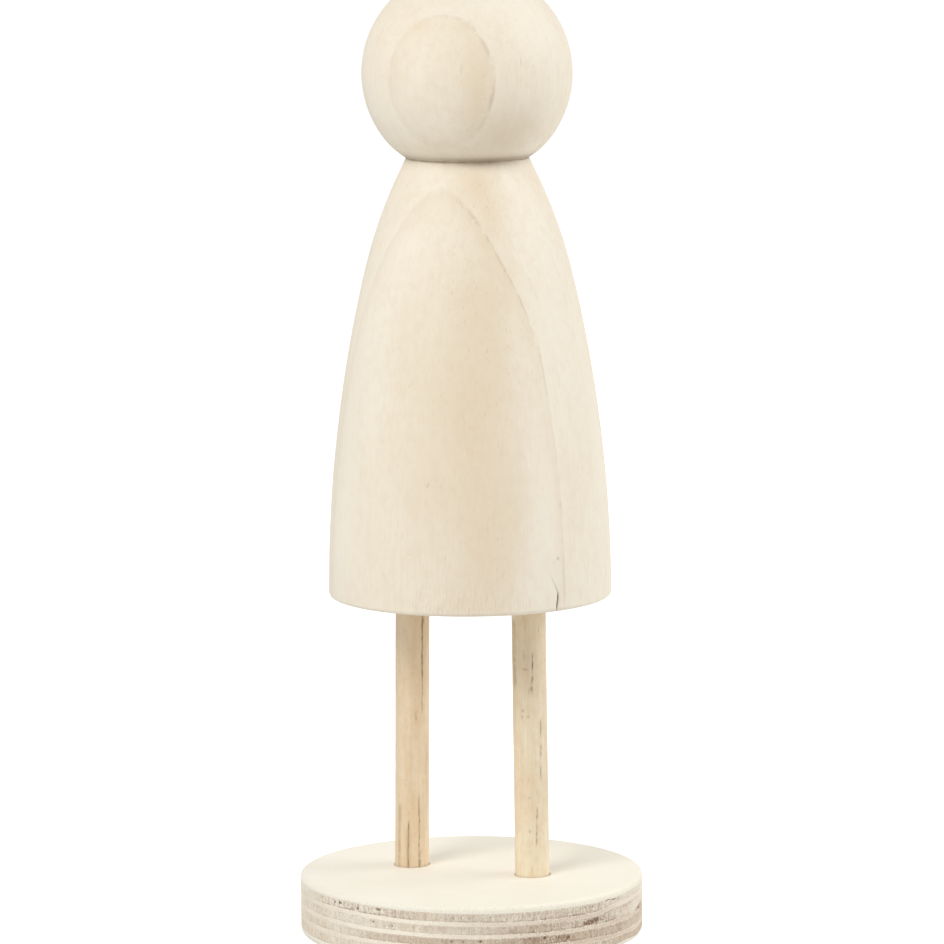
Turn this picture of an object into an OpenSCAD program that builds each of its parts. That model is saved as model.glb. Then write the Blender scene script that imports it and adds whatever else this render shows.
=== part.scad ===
// Standing peg doll of bare wood: a body and head turned from one blank,
// two dowel legs and a round plywood board.
// Millimetres, +Z up. The origin is the middle of the board's underside.
// The doll faces -Y, and +X is its own left.

/* [Board] */
// Diameter of the round board
board_d = 80; // [76:1:120]
// Thickness of each face veneer
face_ply = 1.2; // [0.8:0.1:1.8]
// Thickness of each dark crossband
cross_ply = 2.1; // [1.6:0.1:3]
// Thickness of each pale ply between two crossbands
long_ply = 0.9; // [0.6:0.1:1.8]
// Rounding sanded on the board's upper and lower rim
rim_round = 0.8; // [0.2:0.1:1.4]

/* [Legs] */
// Diameter of each dowel
leg_d = 8; // [5:0.5:10]
// Whole length of each dowel, with both ends in their holes
leg_len = 90; // [60:1:130]
// Distance between the two dowels' axes at the board's top
leg_spacing = 30.6; // [20:0.2:40]
// Lean of each dowel towards the other on its way up, in degrees
leg_lean = 0.6; // [0:0.1:1.5]
// Chamfer on both ends of each dowel
leg_chamfer = 0.8; // [0.3:0.1:1.5]
// How far the legs stand behind the middle of the board
set_back = 1.5; // [0:0.5:6]
// How far they stand from the middle towards the doll's own right
set_aside = 0.5; // [0:0.5:5]

/* [Holes] */
// Depth of each leg's hole in the board
board_hole_depth = 8.5; // [6:0.5:10]
// Depth of each leg's hole in the body
body_hole_depth = 16; // [8:0.5:25]
// Clearance round a dowel in the board
board_fit = 0.2; // [0.05:0.05:0.4]
// Clearance round a dowel in the body
body_fit = 0.1; // [0.05:0.05:0.4]

/* [Body] */
// Diameter of the body at its hem
hem_d = 65.8; // [58:0.2:76]
// Height of the body from hem to neck
body_h = 102; // [75:1:140]
// Diameter at the bottom of the neck groove
neck_d = 28.2; // [22:0.2:34]
// Slope of the side from upright where the lower arc meets the upper one
mid_slope = 13.4; // [12:0.1:16]
// Slope of the shoulder from upright where it reaches the neck
shoulder_slope = 27.6; // [25:0.1:32]
// Rounding of the hem's lower edge
hem_round = 1; // [0.3:0.1:2]

/* [Head] */
// Diameter of the head
head_d = 48.6; // [42:0.2:64]
// Radius of the tighter arc that rounds the head in to the neck
chin_r = 16.5; // [12:0.5:20]
// How far inside the head's circle the neck groove is cut
chin_cut = 0.35; // [0.1:0.05:0.8]

/* [Hidden] */
$fn = 180;
// Steps of the long arcs, which turn only a few degrees each
arc_steps = 1440;
// Overrun of every cut past the surface that it opens
overrun = 1;
// Largest share of a face veneer that its rounded rim may take
rim_share = 0.8;

// Nine plies from the top down, so the grain turns a quarter at every glue line
plies = [face_ply, cross_ply, long_ply, cross_ply, long_ply,
         cross_ply, long_ply, cross_ply, face_ply];
function sum_to(list, last) = last < 0 ? 0 : list[last] + sum_to(list, last - 1);
board_t = sum_to(plies, len(plies) - 1);
rim_r = min(rim_round, face_ply * rim_share);

// Along a leg, zero is the board's top
leg_low = -board_hole_depth;
leg_high = leg_len - board_hole_depth;
hem_z = board_t + (leg_high - body_hole_depth) * cos(leg_lean);

// Two tangent arcs run from upright at the hem to shoulder_slope at the neck:
// their rises add up to body_h and their insets to hem_r - neck_r
hem_r = hem_d / 2;
neck_r = neck_d / 2;
inset = hem_r - neck_r;
low_rise = sin(mid_slope);
up_rise = sin(shoulder_slope) - low_rise;
low_in = 1 - cos(mid_slope);
up_in = cos(mid_slope) - cos(shoulder_slope);
arc_det = low_rise * up_in - up_rise * low_in;
low_r = (body_h * up_in - up_rise * inset) / arc_det;
up_r = (low_rise * inset - low_in * body_h) / arc_det;
joint_h = low_r * low_rise;
up_x = hem_r - low_r + (low_r - up_r) * cos(mid_slope);
up_h = (low_r - up_r) * low_rise;

// The chin's arc touches the head's circle inside and ends on the neck's edge.
// The head's middle, the arc's middle and that edge are a triangle of known sides
head_r = head_d / 2;
neck_reach = head_r - chin_cut;
head_h = sqrt(neck_reach ^ 2 - neck_r ^ 2);
chin_off = head_r - chin_r;
chin_turn = acos((neck_reach ^ 2 + chin_off ^ 2 - chin_r ^ 2) / (2 * neck_reach * chin_off));
chin_dip = atan2(head_h, neck_r) - chin_turn;
chin_x = chin_off * cos(chin_dip);
chin_h = head_h - chin_off * sin(chin_dip);
chin_end = atan2(chin_h, neck_r - chin_x);

module corner_cut(r) {
    // What rounding an outer corner takes off, with the arc's middle at the origin
    difference() {
        square(r + overrun);
        circle(r);
    }
}

module body_profile() {
    difference() {
        union() {
            intersection() {
                translate([hem_r - low_r, 0]) circle(low_r, $fn = arc_steps);
                square([hem_r, joint_h]);
            }
            intersection() {
                translate([up_x, up_h]) circle(up_r, $fn = arc_steps);
                translate([0, joint_h]) square([hem_r, body_h - joint_h]);
            }
        }
        translate([hem_r - hem_round, hem_round]) mirror([0, 1]) corner_cut(hem_round);
    }
}

module head_profile() {
    difference() {
        intersection() {
            translate([0, head_h]) circle(head_r, $fn = arc_steps);
            square([head_r, head_h + head_r]);
        }
        // Outside the chin's arc, from where it leaves the head's circle down to the neck
        translate([chin_x, chin_h]) difference() {
            polygon([[0, 0], head_r * [cos(chin_dip), -sin(chin_dip)],
                     head_r * [cos(chin_dip), -1], head_r * [cos(chin_end), -sin(chin_end)]]);
            circle(chin_r, $fn = arc_steps);
        }
    }
}

module along_leg(side) {
    // Stands the children on a leg's axis, with zero at the board's top
    translate([side * leg_spacing / 2 - set_aside, set_back, board_t])
        rotate([0, -side * leg_lean, 0])
            children();
}

module leg_holes(low, high, fit) {
    for (side = [-1, 1])
        along_leg(side)
            translate([0, 0, low])
                cylinder(h = high - low, r = leg_d / 2 + fit);
}

module head_and_body() {
    color([0.95, 0.91, 0.84])
        difference() {
            translate([-set_aside, set_back, hem_z])
                rotate_extrude() {
                    body_profile();
                    translate([0, body_h]) head_profile();
                }
            leg_holes(leg_high - body_hole_depth - overrun, leg_high, body_fit);
        }
}

module leg(side) {
    tip_r = leg_d / 2 - leg_chamfer;
    color([0.9, 0.81, 0.66])
        along_leg(side)
            rotate_extrude()
                polygon([[0, leg_low], [tip_r, leg_low],
                         [leg_d / 2, leg_low + leg_chamfer],
                         [leg_d / 2, leg_high - leg_chamfer],
                         [tip_r, leg_high], [0, leg_high]]);
}

module right_leg() {
    leg(-1);
}

module left_leg() {
    leg(1);
}

module veneer(i, shade) {
    // One ply of the board, counted from the top
    color(shade)
        difference() {
            translate([0, 0, board_t - sum_to(plies, i)]) children();
            leg_holes(leg_low, overrun, board_fit);
        }
}

module inner_ply(i, shade) {
    veneer(i, shade) cylinder(h = plies[i], d = board_d);
}

module face_disc() {
    // A face veneer with its upper rim rounded
    rotate_extrude()
        difference() {
            square([board_d / 2, face_ply]);
            translate([board_d / 2 - rim_r, face_ply - rim_r]) corner_cut(rim_r);
        }
}

module cross_ply(i) {
    inner_ply(2 * i - 1, [0.74, 0.69, 0.62]);
}

module long_ply(i) {
    inner_ply(2 * i, [0.91, 0.87, 0.79]);
}

module face_veneer_top() {
    veneer(0, [0.97, 0.94, 0.87]) face_disc();
}

module face_veneer_bottom() {
    veneer(len(plies) - 1, [0.97, 0.94, 0.87])
        translate([0, 0, face_ply]) mirror([0, 0, 1]) face_disc();
}

head_and_body();
left_leg();
right_leg();
face_veneer_top();
cross_ply(1);  // cross_ply_1
long_ply(1);  // long_ply_1
cross_ply(2);  // cross_ply_2
long_ply(2);  // long_ply_2
cross_ply(3);  // cross_ply_3
long_ply(3);  // long_ply_3
cross_ply(4);  // cross_ply_4
face_veneer_bottom();
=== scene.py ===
# %% [markdown]
# # A standing peg doll in bare wood
# The doll is four wooden parts. The head and the flared body are turned from one blank, two dowels
# are the legs, and they stand in a round board, which is itself nine veneers glued crosswise. The
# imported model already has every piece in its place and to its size. This lesson keeps those
# sizes, gives each piece the small marks of a real one, and then its finish.

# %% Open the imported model
import math

import bmesh
import bpy
import numpy as np
from mathutils import Matrix, Vector


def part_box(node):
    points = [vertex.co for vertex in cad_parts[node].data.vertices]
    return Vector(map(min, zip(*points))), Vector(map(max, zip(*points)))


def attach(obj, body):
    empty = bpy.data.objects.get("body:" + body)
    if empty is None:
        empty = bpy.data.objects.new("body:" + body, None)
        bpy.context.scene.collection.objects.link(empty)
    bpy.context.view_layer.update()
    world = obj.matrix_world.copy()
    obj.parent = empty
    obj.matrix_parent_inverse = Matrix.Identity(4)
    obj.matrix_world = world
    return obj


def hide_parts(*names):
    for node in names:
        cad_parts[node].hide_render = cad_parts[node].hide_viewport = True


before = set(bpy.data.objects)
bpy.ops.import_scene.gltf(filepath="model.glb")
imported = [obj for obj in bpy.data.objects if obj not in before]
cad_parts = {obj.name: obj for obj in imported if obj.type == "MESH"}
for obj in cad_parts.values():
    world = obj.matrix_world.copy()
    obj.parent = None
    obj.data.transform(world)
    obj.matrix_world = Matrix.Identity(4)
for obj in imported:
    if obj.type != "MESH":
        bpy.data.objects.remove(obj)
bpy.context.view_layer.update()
print("packed pieces:", ", ".join(sorted(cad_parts)))

# %% [markdown]
# ## The doll's measures
# A turner works from a short list of sizes, and so does this script. What the boxes of the packed
# pieces can tell is read from them. The rest repeats the sizes that the pieces were drawn with:
# heights, slopes and radii, all in metres. Once the outline is worked out, the height of its crown
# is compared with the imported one.

# %% Sizes of the wood
MM = 0.001
BODY_RISE = 102 * MM
NECK_R = 14.1 * MM
MID_SLOPE = math.radians(13.4)
SHOULDER_SLOPE = math.radians(27.6)
HEM_ROUND = 1 * MM
HEAD_R = 24.3 * MM
CHIN_R = 16.5 * MM
CHIN_CUT = 0.35 * MM
LEG_R = 4 * MM
LEG_LENGTH = 90 * MM
LEG_SPACING = 30.6 * MM
LEG_LEAN = math.radians(0.6)
LEG_CHAMFER = 0.8 * MM
BOARD_HOLE = 8.5 * MM
BODY_FIT = 0.1 * MM
BOARD_FIT = 0.2 * MM
RIM_R = 0.8 * MM

skirt_low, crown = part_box("head_and_body")
AXIS_X, AXIS_Y = (skirt_low.x + crown.x) / 2, (skirt_low.y + crown.y) / 2
HEM_R, HEM_Z = (crown.x - skirt_low.x) / 2, skirt_low.z
board_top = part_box("face_veneer_top")[1]
BOARD_R, BOARD_T = board_top.x, board_top.z
print(f"hem {HEM_R / MM:.2f} mm from the axis at {HEM_Z / MM:.2f} mm, board {BOARD_T / MM:.2f} mm thick")

# %% [markdown]
# ## The camera
# The picture was taken from a little above and from the doll's left, with a long lens, so upright
# lines hardly converge. The camera is placed by its distance, its turn about the doll and its
# pitch. Right, up and back are the three columns of its matrix. A small roll follows the doll's
# own axis, which isn't quite upright in the picture.

# %% Camera
PICTURE = 944
FOCAL_PIXELS = 5775
SENSOR_WIDTH = 36
FARTHEST_SEEN = 100
DISTANCE = 1339.7 * MM
TURN, PITCH, ROLL = math.radians(22.7), math.radians(8.3), math.radians(-0.35)
AIM = Vector((0, 0, 107 * MM))
AIM_RIGHT, AIM_UP = 0.71 * MM, 0.85 * MM

right = Vector((math.cos(TURN), math.sin(TURN), 0))
back = Vector((math.sin(TURN) * math.cos(PITCH), -math.cos(TURN) * math.cos(PITCH), math.sin(PITCH)))
up = back.cross(right)
lens = bpy.data.cameras.new("studio_camera")
lens.sensor_width = SENSOR_WIDTH
lens.lens = FOCAL_PIXELS / PICTURE * SENSOR_WIDTH
lens.clip_end = FARTHEST_SEEN
camera = bpy.data.objects.new("studio_camera", lens)
turned = Matrix((right, up, back)).transposed() @ Matrix.Rotation(ROLL, 3, "Z")
spot = AIM + right * AIM_RIGHT + up * AIM_UP + back * DISTANCE
camera.matrix_world = Matrix.Translation(spot) @ turned.to_4x4()
bpy.context.scene.collection.objects.link(camera)
bpy.context.scene.camera = camera
print(f"lens {lens.lens:.0f} mm, {DISTANCE:.2f} m from the doll")

# %% [markdown]
# ## Shader sums in plain Python
# A finish is a tree of nodes. Placed one by one they hide the sum that they stand for, so a small
# class wraps a socket and lets Python's own signs add the Math nodes: `1 - mask * 0.3` becomes two
# of them. One method, `node`, makes every other kind: settings first, then numbers or wires for
# its sockets. Colours never go through Math, which would turn them grey, but through Mix. A wood's
# look repeats three things, and each is a method: noise stretched along the fibres, thin coats of
# colour laid one over the other, and the dull surface at the end.


# %% Wires
class Wire:
    """A node's output socket. A sum on it adds a Math node and gives that node's output."""

    def __init__(self, tree, socket):
        self.tree, self.socket = tree, socket

    def math(self, operation, *values):
        return self.tree.node("Math", {"operation": operation}, dict(enumerate(values)))

    def __add__(self, other):
        return self.math("ADD", self, other)

    def __sub__(self, other):
        return self.math("SUBTRACT", self, other)

    def __rsub__(self, other):
        return self.math("SUBTRACT", other, self)

    def __mul__(self, other):
        return self.math("MULTIPLY", self, other)

    def __pow__(self, other):
        return self.math("POWER", self, other)

    def __abs__(self):
        return self.math("ABSOLUTE", self)

    def within(self, low, high, soft="SMOOTHSTEP"):
        """0 below low, 1 above high, and a smooth step between. low may be the larger one."""
        return self.tree.node("MapRange", {"interpolation_type": soft},
                              {"Value": self, "From Min": low, "From Max": high})

    __radd__, __rmul__ = __add__, __mul__


print("a wire takes +, -, *, ** and abs, and adds one Math node for each")


# %% Trees of nodes
class Tree:
    """The nodes of one finish, or of the world."""

    def __init__(self, owner):
        owner.use_nodes = True
        self.owner, self.nodes, self.links = owner, owner.node_tree.nodes, owner.node_tree.links
        self.nodes.clear()

    def node(self, kind, settings=None, inputs=None, out=0):
        """Adds a node: its settings first, then a value or a wire for each of its sockets."""
        made = self.nodes.new("ShaderNode" + kind)
        for key, value in (settings or {}).items():
            if key == "stops":
                self.set_stops(made.color_ramp.elements, value)
            else:
                setattr(made, key, value)
        for key, value in (inputs or {}).items():
            if isinstance(value, Wire):
                self.links.new(value.socket, made.inputs[key])
            else:
                made.inputs[key].default_value = value
        return Wire(self, made.outputs[out]) if made.outputs else made

    @staticmethod
    def set_stops(elements, stops):
        """Gives a ramp its (place, grey) stops."""
        while len(elements) < len(stops):
            elements.new(1)
        for element, (place, grey) in zip(elements, stops):
            element.position = place
            element.color = (grey, grey, grey, 1)

    def millimetres(self, stretch=(1, 1, 1), turn=0.0):
        """Object coordinates counted in millimetres, times stretch, turned about Z."""
        place = self.node("TexCoord", out="Object")
        scale = tuple(s / MM for s in stretch)
        return self.node("Mapping", {}, {"Vector": place, "Rotation": (0, 0, turn), "Scale": scale})

    def noise(self, vector, scale, detail, rough=0.5):
        """Blender's noise from about 0.25 to 0.75, with `scale` lumps in a millimetre."""
        return self.node("TexNoise", {"noise_dimensions": "3D"},
                         {"Vector": vector, "Scale": scale, "Detail": detail, "Roughness": rough})

    def grain(self, stretch, scale, detail, rough=0.5, turn=0.0):
        """Noise on the piece's millimetres, drawn out along each axis whose stretch is under 1."""
        return self.noise(self.millimetres(stretch, turn), scale, detail, rough)

    def blend(self, amount, first, second):
        """Mix of two colours by amount. Sockets 6 and 7 are its colours, and output 2 the result."""
        return self.node("Mix", {"data_type": "RGBA"}, {0: amount, 6: first, 7: second}, out=2)

    def coats(self, colour, *coats):
        """The colour under thin coats, each given by its amount and its red, green and blue."""
        for amount, *paint in coats:
            colour = self.blend(amount, colour, shade(*paint))
        return colour

    def tag(self, name):
        """A number that was stored on the points of the mesh."""
        return self.node("Attribute", {"attribute_name": name}, out="Fac")

    def bare_wood(self, colour, rough, relief, strength, depth):
        """Ends the finish with a surface without a coat, bumped by relief over depth in mm."""
        normal = self.node("Bump", {}, {"Strength": strength, "Distance": depth * MM, "Height": relief})
        self.node("OutputMaterial", {}, {"Surface": self.node(
            "BsdfPrincipled", {}, {"Base Color": colour, "Roughness": rough, "Normal": normal})})
        print(f"{self.owner.name}: {len(self.nodes)} nodes")
        return self.owner


def shade(red, green, blue):
    """A colour as read off a screen, 0 to 255, made linear for the shader."""
    c = np.array([red, green, blue]) / 255
    linear = np.where(c <= 0.04045, c / 12.92, ((c + 0.055) / 1.055) ** 2.4)
    return (*linear.tolist(), 1)


print("a mid grey of 128 is", round(shade(128, 128, 128)[0], 3), "to the shader")

# %% [markdown]
# ## Studio: floor, white surround and two soft lights
# The light in the picture is that of a white sweep and two soft boxes, one high at the front on
# the doll's right and a wide low one on its left, so both edges of the body are bright and the
# middle is a little darker. The world gives the fill, slightly stronger from the bright sweep
# behind than from the room in front. Behind the doll everything is pure white: the floor is lifted
# for the camera alone, so it still catches the shadow, and no extra light reaches the wood.

# %% Floor and world
FILL, FILL_BEHIND = 0.59, 0.05
BEHIND = (-math.sin(TURN), math.cos(TURN), 0)
FLOOR_HALF = 14.0
FLOOR_DROP = 0.05 * MM
FLOOR_GREY = shade(222, 222, 222)
FLOOR_WHITE = 1.02
WHITE = (1, 1, 1, 1)


def make_floor():
    """A large flat square just under the board."""
    mesh = bpy.data.meshes.new("floor")
    h, z = FLOOR_HALF, -FLOOR_DROP
    mesh.from_pydata([(-h, -h, z), (h, -h, z), (h, h, z), (-h, h, z)], [], [(0, 1, 2, 3)])
    floor = bpy.data.objects.new("floor", mesh)
    bpy.context.scene.collection.objects.link(floor)
    tree = Tree(bpy.data.materials.new("white_sweep"))
    seen = tree.node("LightPath", out="Is Camera Ray")
    paint = tree.node("BsdfDiffuse", {}, {"Color": FLOOR_GREY})
    lifted = tree.node("BsdfDiffuse", {}, {"Color": WHITE})
    glow = tree.node("Emission", {}, {"Color": WHITE, "Strength": FLOOR_WHITE - FILL})
    bright = tree.node("AddShader", {}, {0: lifted, 1: glow})
    both = tree.node("MixShader", {}, {0: seen, 1: paint, 2: bright})
    tree.node("OutputMaterial", {}, {"Surface": both})
    mesh.materials.append(tree.owner)
    return floor


make_floor()
world = bpy.data.worlds.new("studio_white")
bpy.context.scene.world = world
sky = Tree(world)
camera_ray = sky.node("LightPath", out="Is Camera Ray")
glossy_ray = sky.node("LightPath", out="Is Glossy Ray")
clear_ray = sky.node("LightPath", out="Is Transmission Ray")
plain = camera_ray.math("MAXIMUM", camera_ray, glossy_ray.math("MAXIMUM", glossy_ray, clear_ray))
towards = sky.node("VectorMath", {"operation": "DOT_PRODUCT"},
                   {0: sky.node("TexCoord", out="Generated"), 1: BEHIND}, out="Value")
fill = towards * FILL_BEHIND + FILL
backdrop = sky.node("Background", {}, {"Color": WHITE, "Strength": plain * (1 - fill) + fill})
sky.node("OutputWorld", {}, {"Surface": backdrop})
bpy.context.scene.view_settings.view_transform = "Standard"
print("fill light from all round:", FILL)

# %% Two soft boxes
# Turn from the camera and rise, in degrees, distance, width and height in metres, and level: the
# share of a surface's colour that the box adds where it faces the box squarely
SOFT_BOXES = {"soft_box_right": (-37, 38, 1.5, 0.7, 0.6, 0.43),
              "soft_box_left": (95, 18, 1.5, 1.2, 0.8, 0.42)}


def soft_box(name, turn, rise, distance, width, height, level):
    """An area light at a turn from the doll's front and a rise from level, aimed at its middle.

    Its power follows from the level: a small source of power P at distance d lights a facing
    surface to P / (pi * d)**2 of its colour.
    """
    light = bpy.data.lights.new(name, "AREA")
    light.shape, light.size, light.size_y = "RECTANGLE", width, height
    light.energy = level * (math.pi * distance) ** 2
    box = bpy.data.objects.new(name, light)
    away = Vector((math.sin(turn) * math.cos(rise), -math.cos(turn) * math.cos(rise), math.sin(rise)))
    facing = away.to_track_quat("Z", "Y").to_matrix().to_4x4()
    box.matrix_world = Matrix.Translation(AIM + away * distance) @ facing
    bpy.context.scene.collection.objects.link(box)


for name, (turn, rise, *size_and_level) in SOFT_BOXES.items():
    soft_box(name, TURN + math.radians(turn), math.radians(rise), *size_and_level)

# %% [markdown]
# ## Surfaces from grids of points
# Every piece below is a few grids of points, each worked out by a formula for the whole array at
# once. One function turns them into a mesh: it numbers the points, makes a face of every four
# neighbours, closes a grid that goes round, and welds the grids where their edges meet. A grid may
# carry tags, such as how deep a pore is, which the finish reads later. So the colour of a crack
# lies exactly on the crack.


# %% Welded shells
WELD_DISTANCE = 1e-7
SHORTEST_EDGE = 1e-9


def weld(mesh):
    """Merges points that coincide, drops faces that this closes up, and turns all faces outwards."""
    shell = bmesh.new()
    shell.from_mesh(mesh)
    bmesh.ops.remove_doubles(shell, verts=shell.verts, dist=WELD_DISTANCE)
    bmesh.ops.dissolve_degenerate(shell, edges=shell.edges, dist=SHORTEST_EDGE)
    bmesh.ops.recalc_face_normals(shell, faces=shell.faces)
    shell.to_mesh(mesh)
    shell.free()


def open_edges(mesh):
    """The number of edges that don't join exactly two faces."""
    edges = np.zeros(len(mesh.loops), np.int32)
    mesh.loops.foreach_get("edge_index", edges)
    return int((np.bincount(edges, minlength=len(mesh.edges)) != 2).sum())


print(f"points within {WELD_DISTANCE / MM:.4f} mm of each other become one")

# %% Grids to a mesh
SHARP_FROM = math.radians(40)


def wooden(name, sheets):
    """One closed mesh from sheets of (points[rows, columns, 3], goes_round, tags)."""
    keys = sorted({key for sheet in sheets for key in sheet[2]})
    points, quads, tags, start = [], [], {key: [] for key in keys}, 0
    for grid, goes_round, marks in sheets:
        rows, columns = grid.shape[:2]
        number = np.arange(rows * columns).reshape(rows, columns) + start
        if goes_round:
            number = np.concatenate([number, number[:, :1]], 1)
        corners = number[:-1, :-1], number[:-1, 1:], number[1:, 1:], number[1:, :-1]
        quads.append(np.stack(corners, -1).reshape(-1, 4))
        points.append(grid.reshape(-1, 3))
        for key in keys:
            tags[key].append(np.broadcast_to(marks.get(key, 0.0), (rows, columns)).ravel())
        start += rows * columns
    points, quads = np.concatenate(points), np.concatenate(quads)
    mesh = bpy.data.meshes.new(name)
    mesh.vertices.add(len(points))
    mesh.vertices.foreach_set("co", points.ravel().astype(np.float32))
    mesh.loops.add(quads.size)
    mesh.loops.foreach_set("vertex_index", quads.ravel().astype(np.int32))
    mesh.polygons.add(len(quads))
    mesh.polygons.foreach_set("loop_start", np.arange(0, quads.size, 4, dtype=np.int32))
    mesh.update(calc_edges=True)
    for key in keys:
        stored = mesh.attributes.new(key, "FLOAT", "POINT")
        stored.data.foreach_set("value", np.concatenate(tags[key]).astype(np.float32))
    weld(mesh)
    mesh.shade_smooth()
    mesh.set_sharp_from_angle(angle=SHARP_FROM)
    piece = bpy.data.objects.new(name, mesh)
    bpy.context.scene.collection.objects.link(piece)
    triangles = sum(len(p.vertices) - 2 for p in mesh.polygons)
    print(f"{name}: {triangles} triangles, {open_edges(mesh)} open edges")
    return piece


print("edges sharper than", round(math.degrees(SHARP_FROM)), "degrees stay sharp")

# %% [markdown]
# ## Chance that repeats
# Wood needs irregular marks, but the script must give the same doll every time. `drift` is a soft
# noise of its own: random numbers on a lattice, drawn from a numbered seed and blended smoothly
# between, which closes up round the piece. `bump` and `spot` are soft bells for single marks.
# `arc_mm` and `turn_from` measure round a piece. `uneven` spreads the lines of a grid so that
# they crowd where there is fine detail, such as the check at the hem.


# %% Soft noise and crowded lines
FINE_PLACES = 4001


def drift(seed, wide, tall, u, v):
    """Noise from -1 to 1 with `wide` lumps round u and `tall` along v, both counted from 0 to 1.

    Between four lattice numbers it blends with the smooth step 3t^2 - 2t^3, and u wraps round.
    """
    lattice = np.random.default_rng(seed).uniform(-1, 1, (tall + 2, wide))
    x, y = (u % 1) * wide, np.clip(v, 0, 1) * tall
    i, j = np.floor(x).astype(int), np.floor(y).astype(int)
    s, t = x - i, y - j
    s, t = s * s * (3 - 2 * s), t * t * (3 - 2 * t)
    i, n = i % wide, (i + 1) % wide
    low = lattice[j, i] * (1 - s) + lattice[j, n] * s
    high = lattice[j + 1, i] * (1 - s) + lattice[j + 1, n] * s
    return low * (1 - t) + high * t


def bump(x, middle, half):
    """1 at the middle, falling as a bell and almost 0 at twice the half width."""
    return np.exp(-((x - middle) / half) ** 2)


def spot(across, above, half, tall):
    """A bell over a surface, from how far each point lies across and above its middle."""
    return np.exp(-(across / half) ** 2 - (above / tall) ** 2)


def arc_mm(degrees, radius):
    """Length in mm of an arc of so many degrees."""
    return degrees * math.radians(1) * radius / MM


def turn_from(middle, degrees):
    """Degrees from the middle, the shorter way round."""
    return (degrees - middle + 180) % 360 - 180


def uneven(start, end, count, busy):
    """count + 1 places from start to end, closer together by `gain` near each (middle, half, gain)."""
    fine = np.linspace(start, end, FINE_PLACES)
    crowd = 1 + sum(gain * bump(fine, middle, half) for middle, half, gain in busy)
    total = np.concatenate([[0], np.cumsum((crowd[1:] + crowd[:-1]) / 2)])
    return np.interp(np.linspace(0, total[-1], count + 1), total, fine)


print("noise sample:", np.round(drift(1, 8, 4, np.array([0.1, 0.6]), np.array([0.5, 0.5])), 3))

# %% [markdown]
# ## The turned outline
# On the lathe the body is one flowing cut: an arc that starts upright at the hem and a tighter one
# that runs on from it to the shoulder. The head is a ball, and under the chin its circle passes
# into a smaller one that dives to the neck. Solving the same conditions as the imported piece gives
# the same circles: they meet without a corner, and their rises and insets add up to the body's.


# %% Outline from hem to crown
ARC_POINTS = 900


def arc(x, z, radius, low, high):
    """Points of a circle's arc between two angles, counted from level."""
    turn = np.linspace(low, high, ARC_POINTS)
    return np.stack([x + radius * np.cos(turn), z + radius * np.sin(turn)], -1)


def turned_outline():
    """Distance from the axis and height above the hem, along the cut from the hem to the crown."""
    rise = np.array([math.sin(MID_SLOPE), math.sin(SHOULDER_SLOPE) - math.sin(MID_SLOPE)])
    inward = np.array([1 - math.cos(MID_SLOPE), math.cos(MID_SLOPE) - math.cos(SHOULDER_SLOPE)])
    low_r, up_r = np.linalg.solve(np.stack([rise, inward]), [BODY_RISE, HEM_R - NECK_R])
    up_x = HEM_R - low_r + (low_r - up_r) * math.cos(MID_SLOPE)
    up_z = (low_r - up_r) * math.sin(MID_SLOPE)
    edge = math.asin(HEM_ROUND / low_r)
    head_z = math.sqrt((HEAD_R - CHIN_CUT) ** 2 - NECK_R ** 2)
    reach, offset = HEAD_R - CHIN_CUT, HEAD_R - CHIN_R
    turn = math.acos((reach ** 2 + offset ** 2 - CHIN_R ** 2) / (2 * reach * offset))
    dip = math.atan2(head_z, NECK_R) - turn
    chin_x, chin_z = offset * math.cos(dip), head_z - offset * math.sin(dip)
    chin_end = math.atan2(chin_z, NECK_R - chin_x)
    return np.concatenate([
        arc(HEM_R - HEM_ROUND, HEM_ROUND, HEM_ROUND, -math.pi / 2, 0),
        arc(HEM_R - low_r, 0, low_r, edge, MID_SLOPE)[1:],
        arc(up_x, up_z, up_r, MID_SLOPE, SHOULDER_SLOPE)[1:],
        arc(chin_x, BODY_RISE + chin_z, CHIN_R, -chin_end, -dip)[1:],
        arc(0, BODY_RISE + head_z, HEAD_R, -dip, math.pi / 2)[1:]])


outline = turned_outline()
length = np.concatenate([[0], np.cumsum(np.hypot(*np.diff(outline, axis=0).T))])
NECK_AT = length[np.argmin(np.abs(outline[:, 1] - BODY_RISE) + np.abs(outline[:, 0] - NECK_R))]
print(f"cut {length[-1] / MM:.1f} mm long, crown off by {(HEM_Z + outline[-1, 1] - crown.z) / MM:.3f} mm")

# %% [markdown]
# ## Head and body
# The outline is carried round the axis. Angles count from the doll's front towards its own left.
# Real marks are cut into the wood: a drying check that opens at the hem, a hair-thin streak beside
# it, a little torn grain in the neck's groove, and a wave of a few hundredths of a millimetre
# that the turning tool left. Lines of the grid crowd at the check and in the groove.

# %% Lists of marks on the turned piece
# Angles of the check and of the streak: (mm above the hem, degrees)
CHECK_PATH = [(0, 59.8), (1.5, 59.9), (3.2, 60.4), (4.4, 60.4), (5.5, 59.5), (9.2, 56.4)]
STREAK_PATH = [(0, 63.9), (9, 63.5), (14, 63.7), (26, 63)]
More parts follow.
